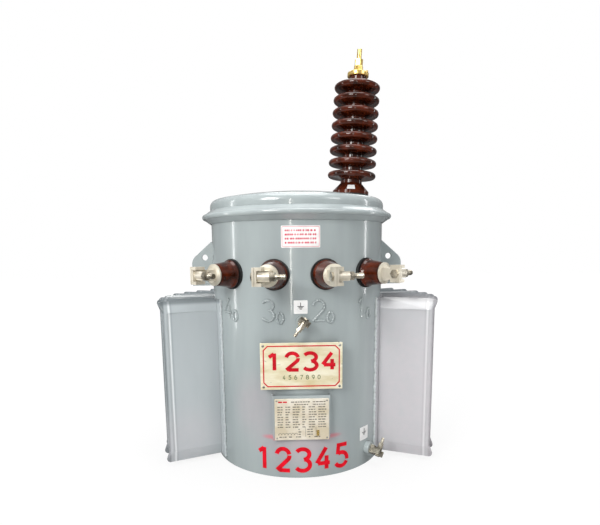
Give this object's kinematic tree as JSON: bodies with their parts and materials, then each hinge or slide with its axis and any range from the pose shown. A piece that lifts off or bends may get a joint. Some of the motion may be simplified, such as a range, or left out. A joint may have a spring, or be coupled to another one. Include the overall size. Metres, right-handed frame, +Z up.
{
  "type": "pole mounted transformer",
  "caption": "Grey pole mounted distribution transformer with a round oil tank, a leaning brown high voltage bushing, a row of low voltage bushings and fanned cooling fins.",
  "frame": {"origin": "Centre of the flat tank bottom, on the ground.", "axes": "+Z is up along the tank axis, -Y is the front with the low voltage bushings, +X is to the right as seen from the front, +Y is the side that hangs on the pole."},
  "size_m": [0.7878, 0.6493, 1.1158],
  "materials": {
    "tank_paint": "satin",
    "bolt_steel": "satin",
    "black_rubber": "matte",
    "brown_glaze": "gloss",
    "terminal_brass": "satin",
    "tinned_bronze": "satin"
  },
  "bodies": {
    "root": {"tank_wall": "tank_paint", "tank_bottom": "tank_paint", "cover": "tank_paint", "clamp_band": "tank_paint", "band_bolt": "bolt_steel", "hv_collar": "tank_paint", "hv_gasket": "black_rubber", "hv_porcelain": "brown_glaze", "hv_cap": "terminal_brass", "hv_stud": "terminal_brass", "hv_nuts": "terminal_brass", "lv1_gasket": "black_rubber", "lv1_porcelain": "brown_glaze", "lv1_terminal": "tinned_bronze", "lv1_jaw": "tinned_bronze", "lv1_bolt": "tinned_bronze", "lv2_gasket": "black_rubber", "lv2_porcelain": "brown_glaze", "lv2_terminal": "tinned_bronze", "lv2_jaw": "tinned_bronze", "lv2_bolt": "tinned_bronze", "lv3_gasket": "black_rubber", "lv3_porcelain": "brown_glaze", "lv3_terminal": "tinned_bronze", "lv3_jaw": "tinned_bronze", "lv3_bolt": "tinned_bronze", "lv4_gasket": "black_rubber", "lv4_porcelain": "brown_glaze", "lv4_terminal": "tinned_bronze", "lv4_jaw": "tinned_bronze", "lv4_bolt": "tinned_bronze", "fin_sheet_left": "tank_paint", "fin_sheet_right": "tank_paint", "fins_left": "tank_paint", "fins_right": "tank_paint", "lifting_lug_left": "tank_paint", "lifting_lug_right": "tank_paint", "name_bracket": "tank_paint", "rating_bracket": "tank_paint", "earth_bosses": "tank_paint", "earth_clamps": "tinned_bronze", "hanger_upper": "tank_paint", "hanger_lower": "tank_paint"}
  },
  "joints": []
}
